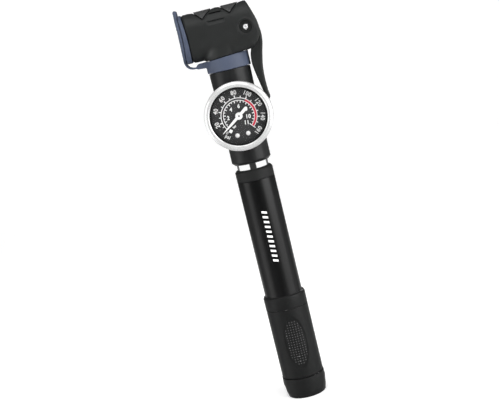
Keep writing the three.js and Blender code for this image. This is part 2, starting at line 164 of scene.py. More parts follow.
def lathe(name, profile, axis="z", at=(0, 0, 0), seg=128, closed=None, angle=32.0, offset=None):
    """profile: (r, h) points. If both ends are on the axis the solid is capped by poles, otherwise it closes on itself."""
    on_axis = abs(profile[0][0]) < 1e-9 and abs(profile[-1][0]) < 1e-9
    th = np.linspace(0, 2 * np.pi, seg, endpoint=False)
    verts, faces, rows = [], [], []
    for r, h in profile:
        if abs(r) < 1e-9:
            rows.append([len(verts)])
            verts.append((0, 0, h))
        else:
            rows.append(list(range(len(verts), len(verts) + seg)))
            verts += [(r * math.cos(t), r * math.sin(t), h) for t in th]
    pairs = list(zip(rows, rows[1:])) + ([] if on_axis else [(rows[-1], rows[0])])
    for a, b in pairs:
        for j in range(seg):
            k = (j + 1) % seg
            if len(a) == 1 and len(b) == 1:
                break
            if len(a) == 1:
                faces.append((a[0], b[k], b[j]))
            elif len(b) == 1:
                faces.append((a[j], a[k], b[0]))
            else:
                faces.append((a[j], a[k], b[k], b[j]))
    v = np.array(verts, float)
    if offset is not None:
        v = offset(v)
    if axis == "x":
        v = v[:, [2, 0, 1]]
    elif axis == "y":
        v = v[:, [1, 2, 0]]
    v = v + np.array(at, float)
    return new_object(name, v, faces, angle)


# ------------------------------------------------------------------ shapes from distance fields
EDGES = [(0, 1), (2, 3), (4, 5), (6, 7), (0, 2), (1, 3), (4, 6), (5, 7), (0, 4), (1, 5), (2, 6), (3, 7)]


def surface(name, f, lo, hi, h, angle=None, project=3):
    """A closed quad mesh on the zero level of f(x, y, z), in millimetres."""
    lo, hi = np.array(lo, float), np.array(hi, float)
    n = np.ceil((hi - lo) / h).astype(int) + 1
    ax = [(lo[i] + h * np.arange(n[i])).astype(np.float32) for i in range(3)]
    V = np.empty(tuple(n), np.float32)
    for i0 in range(0, n[0], 24):                       # slabs keep the memory small
        X, Y, Z = np.meshgrid(ax[0][i0:i0 + 24], ax[1], ax[2], indexing="ij")
        V[i0:i0 + 24] = f(X, Y, Z)
    S = V < 0
    cnt = sum(S[dx:n[0] - 1 + dx, dy:n[1] - 1 + dy, dz:n[2] - 1 + dz].astype(np.int8) for dx in (0, 1) for dy in (0, 1) for dz in (0, 1))
    act = (cnt > 0) & (cnt < 8)
    I, J, K = np.nonzero(act)
    corner = [(c >> 2 & 1, c >> 1 & 1, c & 1) for c in range(8)]
    vals = np.stack([V[I + c[0], J + c[1], K + c[2]] for c in corner], 1)
    acc = np.zeros((len(I), 3))
    num = np.zeros(len(I))
    for a, b in EDGES:
        va, vb = vals[:, a], vals[:, b]
        m = (va < 0) != (vb < 0)
        t = np.where(m, va / np.where(m, va - vb, 1), 0)
        pa, pb = np.array(corner[a], float), np.array(corner[b], float)
        acc += np.where(m[:, None], pa + t[:, None] * (pb - pa), 0)
        num += m
    P = (np.stack([I, J, K], 1) + acc / num[:, None]) * h + lo
    vid = -np.ones(tuple(n - 1), np.int64)
    vid[I, J, K] = np.arange(len(I))
    quads = []
    for d in range(3):
        a, b = [(1, 2), (2, 0), (0, 1)][d]
        sl0 = [slice(None)] * 3
        sl1 = [slice(None)] * 3
        sl0[d], sl1[d] = slice(0, -1), slice(1, None)
        s0, s1 = S[tuple(sl0)], S[tuple(sl1)]
        idx = np.argwhere(s0 != s1)
        ok = (idx[:, a] > 0) & (idx[:, b] > 0) & (idx[:, a] < n[a] - 1) & (idx[:, b] < n[b] - 1)
        idx = idx[ok]
        ea, eb = np.zeros(3, int), np.zeros(3, int)
        ea[a], eb[b] = 1, 1
        q = np.stack([vid[tuple((idx - ea - eb).T)], vid[tuple((idx - eb).T)], vid[tuple(idx.T)], vid[tuple((idx - ea).T)]], 1)
        flip = ~s0[tuple(idx.T)]
        q[flip] = q[flip][:, ::-1]
        quads.append(q)
    Q = np.concatenate(quads)
    e = 0.02
    for _ in range(project):
        x, y, z = P.T
        v = f(x, y, z)
        g = np.stack([f(x + e, y, z) - f(x - e, y, z), f(x, y + e, z) - f(x, y - e, z), f(x, y, z + e) - f(x, y, z - e)], 1) / (2 * e)
        gg = np.maximum((g ** 2).sum(1), 0.25)
        step = (v / gg)[:, None] * g
        ln = np.linalg.norm(step, axis=1, keepdims=True)
        step *= np.minimum(1, 0.6 * h / np.maximum(ln, 1e-9))
        P = P - step
    return fast_object(name, P, Q, angle)


def smin(a, b, k):
    h = np.clip(0.5 + 0.5 * (b - a) / k, 0, 1)
    return b + (a - b) * h - k * h * (1 - h)


def smax(a, b, k):
    return -smin(-a, -b, k)


def sd_poly(px, py, pts):
    """signed distance to a closed polygon in the plane"""
    pts = np.asarray(pts, np.float64)
    d = np.full(np.shape(px), 1e9)
    inside = np.zeros(np.shape(px), bool)
    n = len(pts)
    for i in range(n):
        (ax_, ay_), (bx_, by_) = pts[i], pts[i - 1]
        ex, ey = bx_ - ax_, by_ - ay_
        wx, wy = px - ax_, py - ay_
        t = np.clip((wx * ex + wy * ey) / (ex * ex + ey * ey), 0, 1)
        d = np.minimum(d, (wx - ex * t) ** 2 + (wy - ey * t) ** 2)
        cond = (ay_ > py) != (by_ > py)
        if ey != 0:
            xi = ax_ + (py - ay_) * ex / ey
            inside ^= cond & (px < xi)
    return np.where(inside, -1, 1) * np.sqrt(d)


def box2(d1, d2, rho):
    """intersection of two distances with a rounded edge of radius rho"""
    a, b = d1 + rho, d2 + rho
    return np.minimum(np.maximum(a, b), 0) + np.sqrt(np.maximum(a, 0) ** 2 + np.maximum(b, 0) ** 2) - rho


def sd_cyl(r, h, r0, h0, h1, rho=0.0):
    """solid cylinder: r is the distance from its axis, h the place along it"""
    mid, half = (h0 + h1) / 2, (h1 - h0) / 2
    return box2(r - r0, np.abs(h - mid) - half, rho)


def polyline(px, py, pts):
    d = np.full(np.shape(px), 1e9)
    for (ax_, ay_), (bx_, by_) in zip(pts, pts[1:]):
        ex, ey = bx_ - ax_, by_ - ay_
        t = np.clip(((px - ax_) * ex + (py - ay_) * ey) / (ex * ex + ey * ey), 0, 1)
        d = np.minimum(d, np.hypot(px - ax_ - ex * t, py - ay_ - ey * t))
    return d


def spline(pts, n=8, closed=False):
    """Catmull-Rom through the points"""
    pts = [np.array(p, float) for p in pts]
    m = len(pts)
    out = []
    for i in range(m if closed else m - 1):
        p1, p2 = pts[i], pts[(i + 1) % m]
        p0 = pts[i - 1] if (closed or i > 0) else 2 * p1 - p2
        p3 = pts[(i + 2) % m] if (closed or i + 2 < m) else 2 * p2 - p1
        for k in range(n):
            t = k / n
            out.append(0.5 * ((2 * p1) + (-p0 + p2) * t + (2 * p0 - 5 * p1 + 4 * p2 - p3) * t * t + (-p0 + 3 * p1 - 3 * p2 + p3) * t ** 3))
    if not closed:
        out.append(pts[-1])
    return [tuple(p) for p in out]


# ------------------------------------------------------------------ materials
def material(name, color, rough, metal=0.0, grain=None, var=0.15, rough_var=0.08, bump=0.0, spec=0.5, coat=0.0, coat_rough=0.1, stretch=None, transmission=0.0, alpha=1.0, sheen=0.0, edge_wear_and_glint=0.0, edge_wear_and_glint_color=None, aniso=0.0, pad_tone_and_highlight=None):
    """Principled material whose colour, roughness and surface come from noise at the real scale. grain is the size of the fine texture in millimetres."""
    m = bpy.data.materials.new(name)
    m.use_nodes = True
    nt = m.node_tree
    nt.nodes.clear()
    out = nt.nodes.new("ShaderNodeOutputMaterial")
    b = nt.nodes.new("ShaderNodeBsdfPrincipled")
    nt.links.new(b.outputs[0], out.inputs[0])
    tc = nt.nodes.new("ShaderNodeTexCoord")
    mp = nt.nodes.new("ShaderNodeMapping")
    nt.links.new(tc.outputs["Object"], mp.inputs["Vector"])
    if stretch:
        mp.inputs["Scale"].default_value = stretch
    big = nt.nodes.new("ShaderNodeTexNoise")
    big.inputs["Scale"].default_value = 90.0
    big.inputs["Detail"].default_value = 4.0
    nt.links.new(mp.outputs[0], big.inputs["Vector"])
    ramp = nt.nodes.new("ShaderNodeMapRange")
    ramp.inputs["From Min"].default_value = 0.3
    ramp.inputs["From Max"].default_value = 0.7
    ramp.inputs["To Min"].default_value = 1.0 - var
    ramp.inputs["To Max"].default_value = 1.0 + var
    nt.links.new(big.outputs["Fac"], ramp.inputs["Value"])
    mix = nt.nodes.new("ShaderNodeMix")
    mix.data_type = "RGBA"
    mix.blend_type = "MULTIPLY"
    mix.inputs["Factor"].default_value = 1.0
    mix.inputs["A"].default_value = (*color, 1)
    comb = nt.nodes.new("ShaderNodeCombineColor")
    for i in range(3):
        nt.links.new(ramp.outputs[0], comb.inputs[i])
    nt.links.new(comb.outputs[0], mix.inputs["B"])
    colour_out = mix.outputs["Result"]
    fine = nt.nodes.new("ShaderNodeTexNoise")
    fine.inputs["Scale"].default_value = 1000.0 / (grain or 0.5)
    fine.inputs["Detail"].default_value = 3.0
    fine.inputs["Roughness"].default_value = 0.6
    nt.links.new(mp.outputs[0], fine.inputs["Vector"])
    # pointiness lightens edges and tips: edge wear on most parts, and on the handle a painted highlight on the grip
    # dots and collar rim
    if edge_wear_and_glint > 0:
        geo = nt.nodes.new("ShaderNodeNewGeometry")
        edge = nt.nodes.new("ShaderNodeMapRange")
        edge.inputs["From Min"].default_value = 0.53
        edge.inputs["From Max"].default_value = 0.62
        nt.links.new(geo.outputs["Pointiness"], edge.inputs["Value"])
        mul = nt.nodes.new("ShaderNodeMath")
        mul.operation = "MULTIPLY"
        nt.links.new(edge.outputs[0], mul.inputs[0])
        mul.inputs[1].default_value = edge_wear_and_glint
        mix2 = nt.nodes.new("ShaderNodeMix")
        mix2.data_type = "RGBA"
        nt.links.new(mul.outputs[0], mix2.inputs["Factor"])
        nt.links.new(colour_out, mix2.inputs["A"])
        mix2.inputs["B"].default_value = (*(edge_wear_and_glint_color or [min(1, c * 2.2 + 0.01) for c in color]), 1)
        colour_out = mix2.outputs["Result"]
    # a vertex attribute mixes in a lighter colour: a lighter tone on the grip pads and a painted highlight on the neck
    # crease
    if pad_tone_and_highlight:
        at_ = nt.nodes.new("ShaderNodeAttribute")
        at_.attribute_name = "pad_tone_and_highlight"
        mix3 = nt.nodes.new("ShaderNodeMix")
        mix3.data_type = "RGBA"
        nt.links.new(at_.outputs["Fac"], mix3.inputs["Factor"])
        nt.links.new(colour_out, mix3.inputs["A"])
        mix3.inputs["B"].default_value = (*pad_tone_and_highlight, 1)
        colour_out = mix3.outputs["Result"]
    nt.links.new(colour_out, b.inputs["Base Color"])
    rr = nt.nodes.new("ShaderNodeMapRange")
    rr.inputs["From Min"].default_value = 0.3
    rr.inputs["From Max"].default_value = 0.7
    rr.inputs["To Min"].default_value = max(0.0, rough - rough_var)
    rr.inputs["To Max"].default_value = min(1.0, rough + rough_var)
    nt.links.new((fine if grain else big).outputs["Fac"], rr.inputs["Value"])
    nt.links.new(rr.outputs[0], b.inputs["Roughness"])
    if bump > 0:
        bp = nt.nodes.new("ShaderNodeBump")
        bp.inputs["Strength"].default_value = 1.0
        bp.inputs["Distance"].default_value = bump * MM
        nt.links.new(fine.outputs["Fac"], bp.inputs["Height"])
        nt.links.new(bp.outputs[0], b.inputs["Normal"])
    b.inputs["Metallic"].default_value = metal
    b.inputs["Specular IOR Level"].default_value = spec
    b.inputs["Coat Weight"].default_value = coat
    b.inputs["Coat Roughness"].default_value = coat_rough
    b.inputs["Transmission Weight"].default_value = transmission
    b.inputs["Alpha"].default_value = alpha
    b.inputs["Sheen Weight"].default_value = sheen
    b.inputs["Anisotropic"].default_value = aniso
    return m


M = {
    # the head's lighter mix colour tones the grip pads and paints a highlight on the crease beside the neck
    "head": material("head_plastic", (0.0140, 0.0152, 0.0149), 0.50, grain=0.35, bump=0.010, var=0.10, spec=0.26, edge_wear_and_glint=0.25, pad_tone_and_highlight=(0.040, 0.041, 0.041)),
    "housing": material("housing_plastic", (0.0105, 0.0108, 0.0112), 0.36, grain=0.45, bump=0.005, var=0.10, spec=0.26, edge_wear_and_glint=0.2),
    # the handle's strong edge lightening is a painted highlight on the grip dots and the collar rim
    "handle": material("handle_plastic", (0.0078, 0.0082, 0.0082), 0.46, grain=0.40, bump=0.009, var=0.12, spec=0.19, edge_wear_and_glint=1.0, edge_wear_and_glint_color=(0.20, 0.20, 0.20)),
    "gland": material("gland_plastic", (0.0110, 0.0114, 0.0114), 0.55, grain=0.35, bump=0.008, var=0.1, spec=0.22),
    "inner": material("inner_plastic", (0.05, 0.05, 0.052), 0.5, grain=0.5, bump=0.008),
    "barrel": material("anodised_barrel", (0.0020, 0.0021, 0.0023), 0.33, metal=0.0, grain=0.12, bump=0.002, var=0.08, rough_var=0.04, spec=0.27, coat=0.0, coat_rough=0.25, stretch=(1, 1, 0.04)),
    "tube": material("polished_tube", (0.90, 0.905, 0.91), 0.05, metal=1.0, grain=0.10, bump=0.0006, var=0.03, rough_var=0.03, stretch=(1, 1, 0.05)),
    "bezel": material("polished_bezel", (0.80, 0.80, 0.80), 0.30, metal=0.55, grain=0.25, bump=0.0015, var=0.04, rough_var=0.06),
    "pin": material("bright_pin", (0.86, 0.86, 0.87), 0.30, metal=0.4, grain=0.2, bump=0.001, var=0.05),
    "steel": material("ground_steel", (0.72, 0.73, 0.74), 0.22, metal=1.0, grain=0.2, bump=0.002, var=0.06),
    "brass": material("machined_brass", (0.72, 0.55, 0.28), 0.3, metal=1.0, grain=0.2, bump=0.003, var=0.08),
    "blue": material("blue_grey_rubber", (0.055, 0.069, 0.108), 0.56, grain=0.5, bump=0.012, var=0.10, spec=0.35, sheen=0.0),
    "rubber": material("black_rubber", (0.012, 0.012, 0.012), 0.7, grain=0.5, bump=0.012, spec=0.2),
    "case": material("gauge_case_paint", (0.02, 0.02, 0.021), 0.4, grain=0.4, bump=0.005),
    "dial": material("dial_face", (0.050, 0.050, 0.051), 0.8, grain=0.18, bump=0.0, var=0.05, rough_var=0.04, spec=0.03),
    "white": material("white_paint", (0.90, 0.90, 0.895), 0.45, grain=0.3, bump=0.002, var=0.03),
    "red": material("red_paint", (0.62, 0.022, 0.055), 0.45, grain=0.3, bump=0.002, var=0.05),
    "lens": material("clear_lens", (0.02, 0.021, 0.022), 0.05, grain=3.0, var=0.02, rough_var=0.01, alpha=0.06, spec=0.5),
}


def dress(obj, mat, body, *nodes):
    obj.data.materials.clear()
    obj.data.materials.append(M[mat])
    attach(obj, body)
    if nodes:
        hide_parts(*nodes)
    return obj


# ------------------------------------------------------------------ handle
def end_cap_offset(v):
    """two long shallow side flats that open out towards the flat end"""
    r = np.hypot(v[:, 0], v[:, 1])
    out = r > 11.9
    x = np.abs(v[:, 0]) / np.maximum(r, 1e-6)
    z = v[:, 2]
    lim = np.clip(0.719 + (1 - 0.719) * z / 8.1, 0, 1.2)
    inside = np.clip((x - lim) / 0.02, 0, 1) * out * (z < 8.1)
    depth = 0.16 + 0.45 * (1 - np.clip(z / 8.1, 0, 1))
    k = 1 - inside * depth / np.maximum(r, 1)
    w = v.copy()
    w[:, 0] *= k
    w[:, 1] *= k
    return w


def densify(profile, lo, hi, step):
    out = []
    for a, b in zip(profile, profile[1:]):
        out.append(a)
        if abs(b[1] - a[1]) > step and a[0] > 12 and b[0] > 12 and min(a[1], b[1]) < hi:
            n = int(abs(b[1] - a[1]) / step)
            out += [(a[0] + (b[0] - a[0]) * i / n, a[1] + (b[1] - a[1]) * i / n) for i in range(1, n)]
    out.append(profile[-1])
    return out


prof = rounded([(0, 0), (12.35, 0, 0.9), (12.95, 3.0, 2.0), (13.22, 8.6, 2.0), (13.12, 12.55, 0.25), (11.6, 12.55, 0.1), (11.6, 2.2), (0, 2.2)])
cap = lathe("handle_end_cap_mesh", densify(prof, 0, 12.6, 0.22), seg=288, offset=end_cap_offset, angle=24)
dress(cap, "handle", "barrel_unit", "handle_end_cap")


def grip_mesh():
    z0, z1, seg = 12.86, 56.55, (360)
    pitch, hx, hz, zc = 1.56, 5.75, 14.3, 35.4
    zs = np.concatenate([[z0], z0 + np.array([0.05, 0.15, 0.3]), np.arange(z0 + 0.5, z1 - 0.5, 0.2), z1 - np.array([0.3, 0.15, 0.05]), [z1]])
    th = np.linspace(0, 2 * np.pi, seg, endpoint=False)
    T, Z = np.meshgrid(th, zs)
    base = 12.86 + 0.06 * np.clip((Z - 14) / 34, 0, 1)
    edge = np.minimum(Z - z0, z1 - Z)
    base = base - 0.28 * (1 - np.clip(edge / 0.3, 0, 1)) ** 2
    u = np.abs((T + np.pi / 2 + np.pi / 2) % np.pi - np.pi / 2) * 0 + 0
    # arc length from the front line (-Y) and from the back line (+Y)
    front = ((T - 1.5 * np.pi + np.pi) % (2 * np.pi) - np.pi) * 12.65
    back = ((T - 0.5 * np.pi + np.pi) % (2 * np.pi) - np.pi) * 12.65
    for s in (front - 1.3, back):
        e = np.sqrt((s / 7.0) ** 2 + ((Z - zc) / 16.8) ** 2)
        base = base - 0.42 * np.clip((1.0 - e) / 0.10, 0, 1) ** 1.0 * (e < 1.2)
        col = np.round(s / pitch)
        row = np.round((Z - zc) / pitch - 0.5) + 0.5
        ds, dz = s - col * pitch, (Z - zc) - row * pitch
        ok = (np.sqrt((col * pitch / hx) ** 2 + (row * pitch / hz) ** 2) <= 1.02)
        d = np.sqrt(ds ** 2 + dz ** 2) / 0.50
        base = base + ok * 0.46 * np.clip(1 - d ** 2, 0, 1) ** 0.5
    X, Y = base * np.cos(T), base * np.sin(T)
    outer = np.stack([X, Y, Z], -1).reshape(-1, 3)
    rows = len(zs)
    inner_r = 11.6
    inner = np.stack([inner_r * np.cos(T[:2]), inner_r * np.sin(T[:2]), np.stack([np.full(seg, z0), np.full(seg, z1)])], -1).reshape(-1, 3)
    verts = np.concatenate([outer, inner])
    j = np.arange(seg)
    k = (j + 1) % seg
    quads = [np.stack([i * seg + j, i * seg + k, (i + 1) * seg + k, (i + 1) * seg + j], 1) for i in range(rows - 1)]
    bi, ti = rows * seg, rows * seg + seg
    quads.append(np.stack([bi + j, bi + k, k, j], 1))
    top = (rows - 1) * seg
    quads.append(np.stack([top + j, top + k, ti + k, ti + j], 1))
    quads.append(np.stack([ti + j, ti + k, bi + k, bi + j], 1))
    return fast_object("handle_grip_mesh", verts, np.concatenate(quads), 40)


dress(grip_mesh(), "handle", "barrel_unit", "handle_grip")
dress(lathe("handle_collar_mesh", rounded([(11.6, 56.74), (12.98, 56.74, 0.22), (13.0, 63.3, 0.5), (12.6, 64.45, 0.3), (11.75, 65.0, 0.15), (11.55, 65.0), (11.55, 57.0)]), seg=160), "handle", "barrel_unit", "handle_collar")

# ------------------------------------------------------------------ barrel, gland, inner tube
dress(lathe("barrel_mesh", [(10.35, 10.4), (11.5, 10.4), (11.5, 66), (11.5, 100), (11.5, 137.35), (11.45, 137.5), (11.25, 137.6), (10.35, 137.6)], seg=160), "barrel", "barrel_unit", "barrel")
dress(lathe("barrel_gland_mesh", rounded([(9.62, 130.4), (10.25, 130.4), (10.25, 137.75), (11.5, 137.75, 0.12), (11.5, 143.3, 0.3), (10.5, 144.5, 0.35), (9.7, 144.5, 0.1), (9.62, 144.2), (9.62, 141.8), (10.6, 141.8), (10.6, 139.0), (9.62, 139.0)]), seg=160), "gland", "barrel_unit", "barrel_gland")
dress(lathe("inner_tube_mesh", [(8.3, 24.3), (9.4, 24.3), (9.5, 24.4), (9.5, 90), (9.5, 140), (9.5, 157.9), (9.4, 158.0), (8.3, 158.0)], seg=160), "tube", "head_unit", "inner_tube")

# ------------------------------------------------------------------ gauge housing: neck, collar and the gauge's boss
DZ = 177.5


def housing_field(x, y, z):
    r = np.hypot(x, y)
    prof = [(9.0, 147.95), (10.4, 147.95), (11.95, 149.5), (11.9, 158.0), (12.25, 166.0), (12.25, 190), (12.45, 203), (12.45, 204.6), (8.0, 204.6), (8.0, 217.4), (0, 217.4), (0, 148.25)]
    body = sd_poly(r, z, prof) 
    body = body - 0.0
    g = np.hypot(x, z - DZ)
    boss = sd_poly(g, y, [(0, -12.9), (18.1, -12.9), (17.7, -10.2), (15.2, -7.6), (11.8, -5.6), (0, -5.4)]) - 0.0
    d = smin(body, boss, 1.6)
    d = smax(d, -sd_cyl(g, y, 16.5, -16, -7.4), 0.25)
    d = np.maximum(d, -sd_cyl(r, z, 9.62, 140, 159.6))
    return d


h_house = 0.32
dress(surface("gauge_housing_mesh", housing_field, (-19.5, -14.5, 146.6), (19.5, 13.6, 218.6), h_house, angle=38), "housing", "head_unit", "gauge_housing")

# ------------------------------------------------------------------ gauge
at = (0, 0, DZ)
dress(lathe("gauge_bezel_mesh", rounded([(16.95, -20.2), (16.95, -20.75, 0.2), (17.4, -21.05, 0.3), (18.7, -21.05, 1.0), (20.2, -19.9, 1.2), (20.2, -13.6, 0.3), (19.7, -13.3, 0.15), (18.95, -13.3), (18.95, -20.2)]), "y", at, seg=192), "bezel", "head_unit", "gauge_bezel")
dress(lathe("gauge_case_mesh", rounded([(0, -7.7), (16.2, -7.7, 0.6), (16.2, -13.2), (18.75, -13.2, 0.4), (18.75, -17.8), (17.75, -17.8), (17.75, -14.0), (15.2, -14.0), (15.2, -8.7), (0, -8.7)]), "y", at, seg=128), "case", "head_unit", "gauge_case")
lens = dress(lathe("gauge_lens_mesh", rounded([(0, -19.0), (18.5, -18.9, 0.1), (18.5, -19.9, 0.25), (10, -20.1), (0, -20.14)]), "y", at, seg=128), "lens", "head_unit", "gauge_lens")
dress(lathe("lens_gasket_mesh", rounded([(15.95, -18.75, 0.1), (18.6, -18.75, 0.1), (18.6, -17.95, 0.1), (15.95, -17.95, 0.1)]), "y", at, seg=128), "rubber", "head_unit", "lens_gasket")
dress(lathe("dial_plate_mesh", rounded([(1.0, -15.6), (17.4, -15.6, 0.08), (17.4, -15.1), (1.0, -15.1)]), "y", at, seg=160), "dial", "head_unit", "dial_plate")
FACE = -15.6


def dial_xy(r, deg):
    a = math.radians(deg)
    return r * math.sin(a), r * math.cos(a)


def dial_arc(verts, faces, r0, r1, a0, a1, top=FACE - 0.06, n=None):
    n = n or max(1, int(abs(a1 - a0) / 1.5))
    s = len(verts)
    for i in range(n + 1):
        a = a0 + (a1 - a0) * i / n
        for r in (r0, r1):
            x, z = dial_xy(r, a)
            verts += [(x, top, z + DZ), (x, FACE + 0.02, z + DZ)]
    for i in range(n):
        q = s + 4 * i
        w = q + 4
        faces += [(q, w, w + 2, q + 2), (q + 1, q + 3, w + 3, w + 1), (q, q + 1, w + 1, w), (q + 2, w + 2, w + 3, q + 3)]
    e = s + 4 * n
    faces += [(s, s + 2, s + 3, s + 1), (e, e + 1, e + 3, e + 2)]


def dial_bar(verts, faces, r0, r1, deg, width, top=FACE - 0.06, shift=0.0):
    ux_, uz_ = dial_xy(1, deg)
    nx_, nz_ = uz_, -ux_
    s = len(verts)
    for r in (r0, r1):
        for w in (-width / 2, width / 2):
            x, z = ux_ * r + nx_ * (w + shift), uz_ * r + nz_ * (w + shift)
            verts += [(x, top, z + DZ), (x, FACE + 0.02, z + DZ)]
    faces += [(s, s + 4, s + 6, s + 2), (s + 1, s + 3, s + 7, s + 5), (s, s + 1, s + 5, s + 4), (s + 2, s + 6, s + 7, s + 3), (s, s + 2, s + 3, s + 1), (s + 4, s + 5, s + 7, s + 6)]


PSI = {0: -125.5, 20: -100.3, 40: -66.7, 60: -32.8, 80: 0.0, 100: 34.5, 120: 68.8, 140: 104.5, 160: 138.5}


def psi_angle(v):
    ks = sorted(PSI)
    return float(np.interp(v, ks, [PSI[k] for k in ks]))


wv, wf = [], []
dial_arc(wv, wf, 10.3, 10.75, -125.5, 138.5)
dial_arc(wv, wf, 8.9, 9.3, -125.5, 138.5)
for v in range(0, 161, 10):
    if v in (0, 160):
        dial_bar(wv, wf, 7.6, 13.6 if v == 0 else 11.8, psi_angle(v), 0.5)
    else:
        dial_bar(wv, wf, 10.6, 12.15 if v % 20 == 0 else 11.7, psi_angle(v), 0.62 if v % 20 == 0 else 0.5)
for i in range(1, 22):
    a = -125.5 + 264.0 * i / 22
    dial_bar(wv, wf, 7.75 if i % 2 == 0 else 8.2, 9.1, a, 0.52 if i % 2 == 0 else 0.45)
scale = new_object("dial_scale", wv, wf, 30)
dress(scale, "white", "head_unit")
rv, rf = [], []
dial_arc(rv, rf, 9.2, 10.4, 34.5, 138.0, top=FACE - 0.07)
dress(new_object("dial_red_zone", rv, rf, 30), "red", "head_unit")


def text_piece(name, body, x, z, size, turn, y=FACE - 0.06, weight=0.05, squeeze=0.86, spacing=1.0):
    """generic dial figure: turn is clockwise in degrees"""
    c = bpy.data.curves.new(name + "_c", "FONT")
    c.body = body
    c.align_x = "CENTER"
    c.align_y = "CENTER"
    c.size = size * MM
    c.offset = weight * MM
    c.extrude = 0.03 * MM
    c.resolution_u = 4
    c.space_character = spacing
    o = bpy.data.objects.new(name + "_t", c)
    scene.collection.objects.link(o)
    bpy.context.view_layer.update()
    dg = bpy.context.evaluated_depsgraph_get()
    mesh = bpy.data.meshes.new_from_object(o.evaluated_get(dg))
    bpy.data.objects.remove(o)
    a = math.radians(turn)
    co = np.array([v.co for v in mesh.vertices], float).reshape(-1, 3)
    cx = (co[:, 0].min() + co[:, 0].max()) / 2
    cy = (co[:, 1].min() + co[:, 1].max()) / 2
    u, w = (co[:, 0] - cx) * squeeze, co[:, 1] - cy
    px = u * math.cos(a) + w * math.sin(a)
    pz = -u * math.sin(a) + w * math.cos(a)
    res = np.stack([px + x * MM, y * MM + 0.03 * MM - co[:, 2], pz + (z + DZ) * MM], 1)
    mesh.vertices.foreach_set("co", res.astype(np.float32).ravel())
    mesh.name = name
    mesh.update()
    ob = bpy.data.objects.new(name, mesh)
    scene.collection.objects.link(ob)
    return ob


figures = []
for v, a in PSI.items():
    if v == 0:
        x, z = dial_xy(12.2, -132.3)
        figures.append(text_piece("dial_psi_0", "0", x, z, 2.5, -131.5 + 180))
        continue
    flip = v == 160
    x, z = dial_xy(13.9, a)
    figures.append(text_piece(f"dial_psi_{v}", str(v), x, z, 3.5, a + (180 if flip else 0), squeeze=0.86 if v >= 100 else 0.9, weight=0.10, spacing=1.12))
for v, a, r in ((2, -88.0, 6.4), (4, -38.8, 6.0), (6, 11.0, 5.8), (8, 58.0, 5.9), (10, 104.6, 5.6), (11, 143.0, 5.8)):
    x, z = dial_xy(r, a)
    figures.append(text_piece(f"dial_bar_{v}", str(v), x, z, 3.2, 8, squeeze=0.88, weight=0.11, spacing=1.15))
x, z = dial_xy(14.3, -138.5)
figures.append(text_piece("dial_unit_outer", "psi", x, z, 3.0, -139.5 + 180, weight=0.10, spacing=1.12))
x, z = dial_xy(6.8, -143.5)
figures.append(text_piece("dial_unit_inner", "bar", x, z, 2.0, -30, weight=0.05))
for f_ in figures:
    dress(f_, "white", "head_unit")

# needle stop beside the zero mark
sv, sf = [], []
dial_bar(sv, sf, 9.2, 11.1, -138.5, 1.9, top=-16.9)
stop = new_object("needle_stop", sv, sf, 30)
bev = stop.modifiers.new("bevel", "BEVEL")
bev.width = 0.18 * MM
bev.segments = 3
dress(stop, "white", "head_unit", *(["needle_stop"] if "needle_stop" in NODES else []))

for n_, x in (("left", -3.55), ("right", 2.95)):
    dress(lathe(f"dial_screw_{n_}_mesh", rounded([(0, -16.35), (0.5, -16.3, 0.3), (1.1, -16.05, 0.4), (1.42, -15.68, 0.1), (0.5, -15.66), (0.5, -11.0), (0, -11.0)]), "y", (x, 0, DZ - 11.0), seg=40), "white", "head_unit", f"dial_screw_{n_}")


def needle():
    a = math.radians(-125.5)
    d = np.array([math.sin(a), math.cos(a)])
    n = np.array([d[1], -d[0]])
    half = spline([(-6.9, 0.0), (-6.8, 0.5), (-6.3, 0.92), (-5.2, 0.95), (-2.0, 0.86), (0, 0.84), (3, 0.80), (7, 0.66), (10.5, 0.44), (13.2, 0.2), (14.1, 0.1), (14.25, 0.0)], 5)
    pts = half + [(l, -w) for l, w in half[-2:0:-1]]
    y0, y1 = -16.95, -16.6
    verts, m = [], len(pts)
    for y in (y0, y1):
        for l, w in pts:
            x, z = d * l + n * w
            verts.append((x, y, z + DZ))
    faces = [tuple(range(m)), tuple(range(2 * m - 1, m - 1, -1))] + [(i, (i + 1) % m, (i + 1) % m + m, i + m) for i in range(m)]
    blade = new_object("needle_blade", verts, faces, 30)
    hub = lathe("needle_hub", rounded([(0, -17.3), (0.72, -17.3), (0.8, -17.62, 0.05), (1.25, -17.72, 0.1), (1.45, -17.55, 0.1), (1.75, -17.55, 0.1), (2.1, -17.4, 0.2), (2.15, -16.35, 0.1), (0.6, -16.3), (0, -16.3)]), "y", at, seg=72)
    return blade, hub


blade, hub = needle()
dress(blade, "white", "needle", "needle")
dress(hub, "white", "needle")
dress(lathe("needle_spindle_end", rounded([(0, -17.6), (0.45, -17.55, 0.2), (0.62, -17.3, 0.1), (0.62, -16.9), (0, -16.9)]), "y", at, seg=40), "steel", "needle")

# ------------------------------------------------------------------ head shell
MZ = 228.1
PROFILE = [(-24, 211.9), (-8, 211.9), (0, 212.3), (12.4, 212.9), (16.0, 213.6), (18.1, 214.6), (20.6, 217.3), (22.3, 220.3), (22.8, 223.0), (22.6, 226.4), (22.2, 228.9), (21.5, 231.8), (20.3, 235.9), (19.2, 239.3), (18.2, 242.3), (-24, 242.3)]


PIN_Z = 226.6


def arch(y):
    """the mouth rim and its cap curve back a little towards both flanks"""
    return 1.55 * (y / 13.5) ** 2


def deep(y, z):
    """round above the mouth centre, slightly deeper below it"""
    return np.hypot(y, (z - MZ) * np.where(z < MZ, 0.93, 1.0))


def rim_shift(z):
    return 0.5 + 0.8 * np.clip((MZ + 14 - z) / 28, 0, 1)


